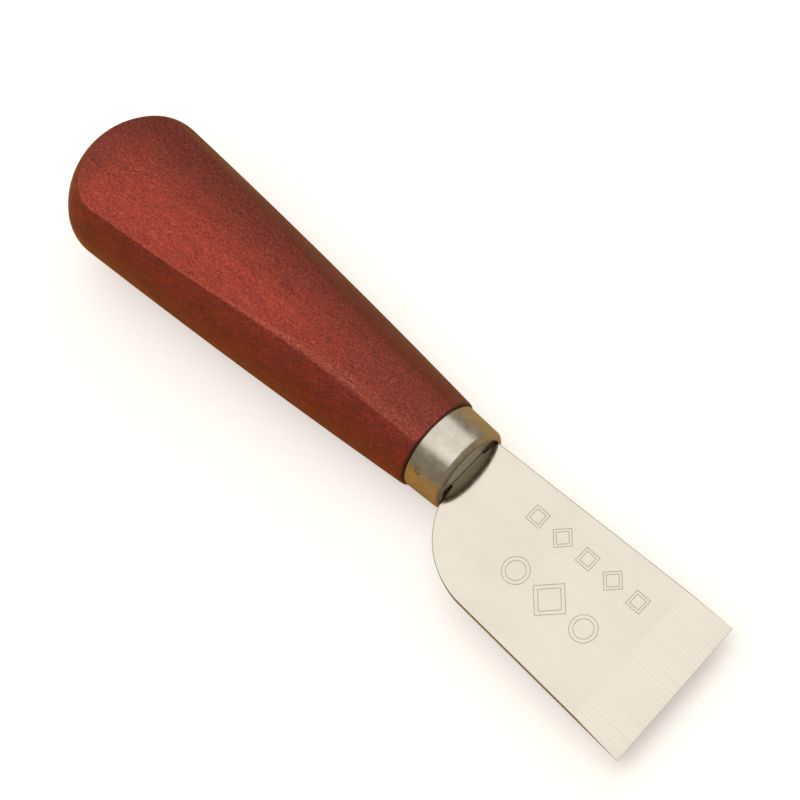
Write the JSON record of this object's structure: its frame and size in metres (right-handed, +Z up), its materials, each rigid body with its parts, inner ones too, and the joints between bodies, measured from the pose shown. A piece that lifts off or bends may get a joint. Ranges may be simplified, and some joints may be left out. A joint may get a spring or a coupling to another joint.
{
  "type": "leather paring knife",
  "caption": "Leather paring knife: broad single-bevel steel blade flared to one side, steel ferrule, turned hardwood handle with two flats.",
  "frame": {"origin": "on the handle's lower flat, straight below the handle's axis, 40 mm in front of the butt end", "axes": "+X along the handle's axis from the butt to the cutting edge, +Z up, normal to the blade's bevelled upper face, so that -Y is the side to which the blade flares"},
  "size_m": [0.1769, 0.0423, 0.0248],
  "materials": {
    "handle_wood": "red-brown stained hardwood under satin lacquer",
    "ferrule_steel": "polished, slightly worn nickel-plated steel",
    "plate_steel": "satin zinc-plated steel",
    "epoxy": "cured amber adhesive",
    "blade_steel": "finely ground carbon steel"
  },
  "bodies": {
    "root": {"handle": "handle_wood", "ferrule": "ferrule_steel", "end_plate": "plate_steel", "tang_adhesive": "epoxy", "blade": "blade_steel"}
  },
  "joints": []
}
